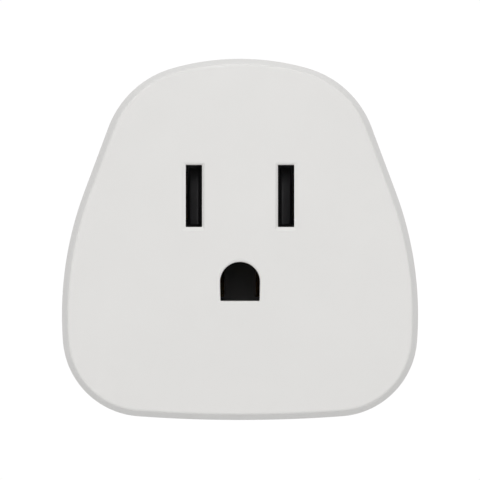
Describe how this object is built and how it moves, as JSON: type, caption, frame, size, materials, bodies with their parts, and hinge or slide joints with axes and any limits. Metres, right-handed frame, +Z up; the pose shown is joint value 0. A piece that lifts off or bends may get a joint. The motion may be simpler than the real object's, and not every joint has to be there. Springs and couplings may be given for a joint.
{
  "type": "plug-in power meter",
  "caption": "Plug-in power meter: a rounded white metering plug with a grounded outlet in front, flat blades and a round ground pin behind, and a button on its side.",
  "frame": {"origin": "middle of the flat wall face, where the blades come out of the case", "axes": "+Y into the wall along the blades, +Z up, +X to the right as seen from the outlet side, with the outlet face at y = -0.038"},
  "size_m": [0.0496, 0.0589, 0.0502],
  "materials": {
    "shell_white": "white flame-retardant plastic with a fine spark-eroded texture",
    "button_white": "white plastic, slightly smoother than the case",
    "black_nylon": "black moulded nylon",
    "holder_nylon": "natural moulded nylon",
    "board_green": "green solder mask on glass-filled laminate",
    "radio_blue": "blue solder mask on glass-filled laminate",
    "relay_plastic": "black moulded plastic",
    "bobbin_plastic": "tan moulded plastic",
    "film_yellow": "yellow potted box",
    "varistor_blue": "blue dipped epoxy",
    "resistor_green": "green flame-proof lacquer",
    "chip_black": "black moulding compound",
    "ferrite": "dark grey ferrite in a heat-shrink sleeve",
    "clear_plastic": "clear plastic",
    "nickel_plate": "nickel-plated brass",
    "brass": "plain rolled brass",
    "copper": "copper and copper alloy",
    "steel": "zinc-plated steel",
    "spring_steel": "stainless spring wire",
    "relay_iron": "plated soft iron",
    "can_aluminium": "drawn aluminium can"
  },
  "bodies": {
    "case": {"front_cover": "shell_white", "rear_housing": "shell_white", "case_screw_1": "steel", "case_screw_2": "steel", "case_screw_3": "steel", "line_blade": "nickel_plate", "neutral_blade": "nickel_plate", "ground_pin": "nickel_plate", "blade_holder": "holder_nylon", "shutter_guide": "black_nylon", "left_shutter_spring": "spring_steel", "right_shutter_spring": "spring_steel", "contact_carrier": "black_nylon", "line_contact": "brass", "neutral_contact": "brass", "ground_contact": "brass", "power_board": "board_green", "board_screw_1": "steel", "board_screw_2": "steel", "relay_cover": "relay_plastic", "relay_base": "relay_plastic", "relay_yoke": "relay_iron", "relay_bobbin": "bobbin_plastic", "relay_winding": "copper", "relay_fixed_contact": "brass", "relay_common_terminal": "brass", "current_shunt": "copper", "metering_chip": "chip_black", "supply_chip": "chip_black", "bridge_rectifier": "chip_black", "voltage_regulator": "chip_black", "noise_capacitor": "film_yellow", "varistor": "varistor_blue", "choke": "ferrite", "fuse_resistor": "resistor_green", "bulk_capacitor_1": "can_aluminium", "bulk_capacitor_2": "can_aluminium", "output_capacitor": "can_aluminium", "radio_board": "radio_blue", "radio_shield": "steel", "pin_header": "chip_black", "tact_switch_body": "chip_black", "status_led": "clear_plastic", "light_pipe": "clear_plastic"},
    "button": {"power_button": "button_white", "tact_switch_plunger": "black_nylon"},
    "left_shutter": {"left_shutter": "black_nylon"},
    "right_shutter": {"right_shutter": "black_nylon"},
    "armature": {"relay_armature": "relay_iron", "relay_moving_contact": "brass"}
  },
  "joints": [
    {"name": "button_press", "type": "slide", "parent": "case", "child": "button", "axis": [-1, 0, 0], "range_m": [0, 0.0006], "stiffness_N_per_m": 2500, "springref_m": -0.0003},
    {"name": "left_shutter_slide", "type": "slide", "parent": "case", "child": "left_shutter", "axis": [1, 0, 0], "range_m": [0, 0.0028], "stiffness_N_per_m": 120, "springref_m": -0.003, "deforming": ["left_shutter_spring"]},
    {"name": "right_shutter_slide", "type": "slide", "parent": "case", "child": "right_shutter", "axis": [-1, 0, 0], "range_m": [0, 0.0028], "stiffness_N_per_m": 120, "springref_m": -0.003, "deforming": ["right_shutter_spring"]},
    {"name": "armature_hinge", "type": "hinge", "parent": "case", "child": "armature", "pos_m": [0.01535, -0.016, -0.0039], "axis": [1, 0, 0], "range_deg": [0, 5.5], "stiffness_Nm_per_rad": 0.004, "springref_deg": -17.19}
  ]
}
